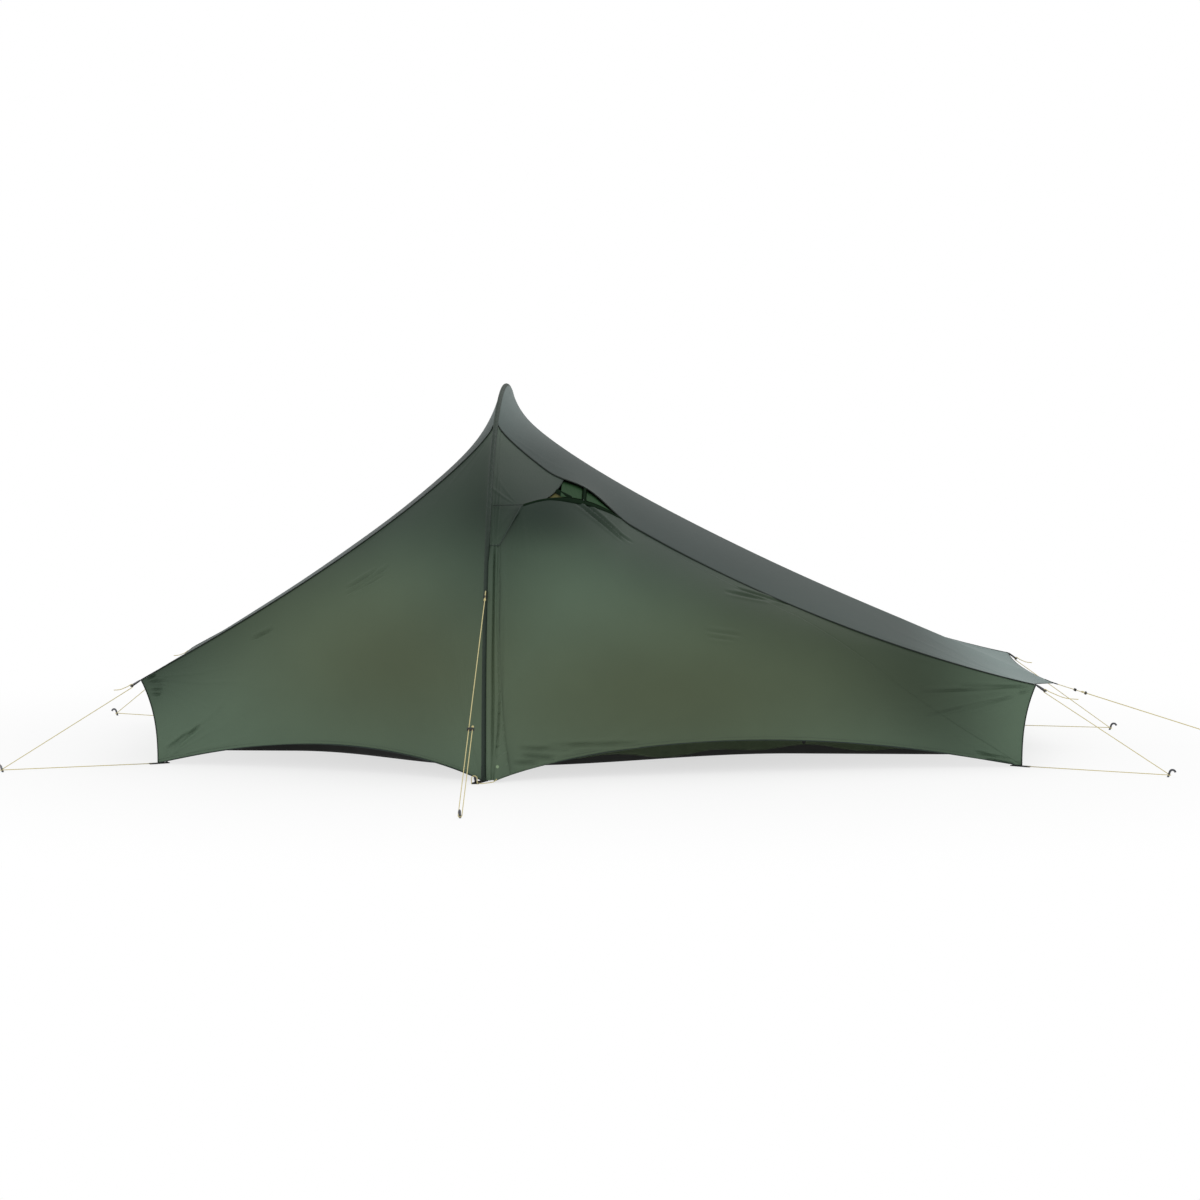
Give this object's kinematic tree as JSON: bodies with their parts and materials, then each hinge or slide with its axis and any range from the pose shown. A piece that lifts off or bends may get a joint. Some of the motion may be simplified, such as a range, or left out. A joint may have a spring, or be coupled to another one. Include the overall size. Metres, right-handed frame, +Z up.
{
  "type": "backpacking tent",
  "caption": "Low single-hoop backpacking tent, pitched: sloping fly with a side door and vent, inner tent, curved pole, corner struts, guylines and pegs.",
  "frame": {"origin": "on the ground below the hoop's crown, on the underside of the floor", "axes": "+X along the tent towards its long right end, +Y away from the door side, +Z up"},
  "size_m": [3.5538, 2.8616, 1.2078],
  "materials": {
    "roof_cloth": "coated ripstop nylon, satin",
    "wall_cloth": "coated ripstop nylon, semi-matt",
    "sleeve_cloth": "woven nylon sleeve",
    "zip_tape": "woven polyester tape with nylon coil",
    "zip_slider": "black painted zinc",
    "inner_cloth": "uncoated breathable nylon",
    "groundsheet": "coated nylon, black",
    "webbing": "woven polyester webbing",
    "guyline_cord": "braided cord, pale yellow",
    "shock_cord": "elastic cord",
    "pole_tube": "anodised",
    "peg_alloy": "dark anodised",
    "strut": "carbon-fibre rod",
    "black_plastic": "moulded acetal"
  },
  "bodies": {
    "tent": {"roof_panel_left": "roof_cloth", "roof_panel_right": "roof_cloth", "front_wall_left": "wall_cloth", "front_wall_right": "wall_cloth", "rear_wall_left": "wall_cloth", "rear_wall_right": "wall_cloth", "end_wall_left": "wall_cloth", "end_wall_right": "wall_cloth", "vent_hood": "wall_cloth", "door_zip_tape": "zip_tape", "door_toggle": "black_plastic", "inner_canopy_left": "inner_cloth", "inner_canopy_right": "inner_cloth", "floor_tub": "groundsheet", "pole_sleeve": "sleeve_cloth", "pole_section_1": "pole_tube", "pole_section_2": "pole_tube", "pole_section_3": "pole_tube", "pole_section_4": "pole_tube", "pole_section_5": "pole_tube", "pole_section_6": "pole_tube", "pole_shock_cord": "shock_cord", "foot_strap_front": "webbing", "foot_strap_rear": "webbing", "left_front_strut": "strut", "left_rear_strut": "strut", "right_front_strut": "strut", "right_rear_strut": "strut", "left_front_foot": "webbing", "left_rear_foot": "webbing", "right_front_foot": "webbing", "right_rear_foot": "webbing", "left_front_lock": "black_plastic", "left_rear_lock": "black_plastic", "right_front_lock": "black_plastic", "right_rear_lock": "black_plastic", "left_front_guyline": "guyline_cord", "left_rear_guyline": "guyline_cord", "right_front_guyline": "guyline_cord", "right_rear_guyline": "guyline_cord", "front_guyline": "guyline_cord", "rear_guyline": "guyline_cord", "end_guyline": "guyline_cord", "end_guy_toggle": "black_plastic"},
    "door": {"door_panel": "wall_cloth"},
    "zip_slider": {"door_zip_slider": "zip_slider"},
    "prop": {"vent_prop": "strut"},
    "inner_door": {"inner_door": "inner_cloth"},
    "front_line_lock": {"front_lock": "black_plastic"},
    "rear_line_lock": {"rear_lock": "black_plastic"},
    "end_line_lock": {"end_lock": "black_plastic"},
    "left_front_peg": {"left_front_peg": "peg_alloy"},
    "left_rear_peg": {"left_rear_peg": "peg_alloy"},
    "right_front_peg": {"right_front_peg": "peg_alloy"},
    "right_rear_peg": {"right_rear_peg": "peg_alloy"},
    "front_peg": {"front_peg": "peg_alloy"},
    "rear_peg": {"rear_peg": "peg_alloy"},
    "end_peg": {"end_peg": "peg_alloy"},
    "front_foot_peg": {"foot_peg_front": "peg_alloy"},
    "rear_foot_peg": {"foot_peg_rear": "peg_alloy"}
  },
  "joints": [
    {"name": "door_fold", "type": "hinge", "parent": "tent", "child": "door", "pos_m": [0.9081, -0.44088, 0.34425], "axis": [-0.8526, 0.0407, 0.5209], "range_deg": [0, 42]},
    {"name": "zip_travel", "type": "hinge", "parent": "tent", "child": "zip_slider", "pos_m": [0, 0.76619, 0], "axis": [-1, 0, 0], "range_deg": [0, 20]},
    {"name": "prop_fold", "type": "hinge", "parent": "tent", "child": "prop", "pos_m": [0.25, -0.4075, 0.76631], "axis": [1, 0, 0], "range_deg": [0, 80]},
    {"name": "inner_door_fold", "type": "hinge", "parent": "tent", "child": "inner_door", "pos_m": [0.25504, -0.43784, 0.24372], "axis": [-0.9201, -0.3551, 0.1652], "range_deg": [0, 70]},
    {"name": "front_lock_slide", "type": "slide", "parent": "tent", "child": "front_line_lock", "axis": [-0.0127, -0.8056, -0.5924], "range_m": [0, 0.2]},
    {"name": "rear_lock_slide", "type": "slide", "parent": "tent", "child": "rear_line_lock", "axis": [-0.0017, 0.8057, -0.5924], "range_m": [0, 0.2]},
    {"name": "end_lock_slide", "type": "slide", "parent": "tent", "child": "end_line_lock", "axis": [0.9539, -0.0078, -0.3001], "range_m": [0, 0.3]},
    {"name": "left_front_peg_pull", "type": "slide", "parent": "tent", "child": "left_front_peg", "axis": [-0.283, -0.1241, 0.9511], "range_m": [0, 0.152]},
    {"name": "left_rear_peg_pull", "type": "slide", "parent": "tent", "child": "left_rear_peg", "axis": [-0.2933, 0.0972, 0.9511], "range_m": [0, 0.152]},
    {"name": "right_front_peg_pull", "type": "slide", "parent": "tent", "child": "right_front_peg", "axis": [0.2785, -0.134, 0.9511], "range_m": [0, 0.152]},
    {"name": "right_rear_peg_pull", "type": "slide", "parent": "tent", "child": "right_rear_peg", "axis": [0.2975, -0.0836, 0.9511], "range_m": [0, 0.152]},
    {"name": "front_peg_pull", "type": "slide", "parent": "tent", "child": "front_peg", "axis": [-0.0028, -0.309, 0.9511], "range_m": [0, 0.152]},
    {"name": "rear_peg_pull", "type": "slide", "parent": "tent", "child": "rear_peg", "axis": [-0.0028, 0.309, 0.9511], "range_m": [0, 0.152]},
    {"name": "end_peg_pull", "type": "slide", "parent": "tent", "child": "end_peg", "axis": [0.309, 0, 0.9511], "range_m": [0, 0.152]},
    {"name": "front_foot_peg_pull", "type": "slide", "parent": "tent", "child": "front_foot_peg", "axis": [0, -0.309, 0.9511], "range_m": [0, 0.152]},
    {"name": "rear_foot_peg_pull", "type": "slide", "parent": "tent", "child": "rear_foot_peg", "axis": [0, 0.309, 0.9511], "range_m": [0, 0.152]}
  ]
}
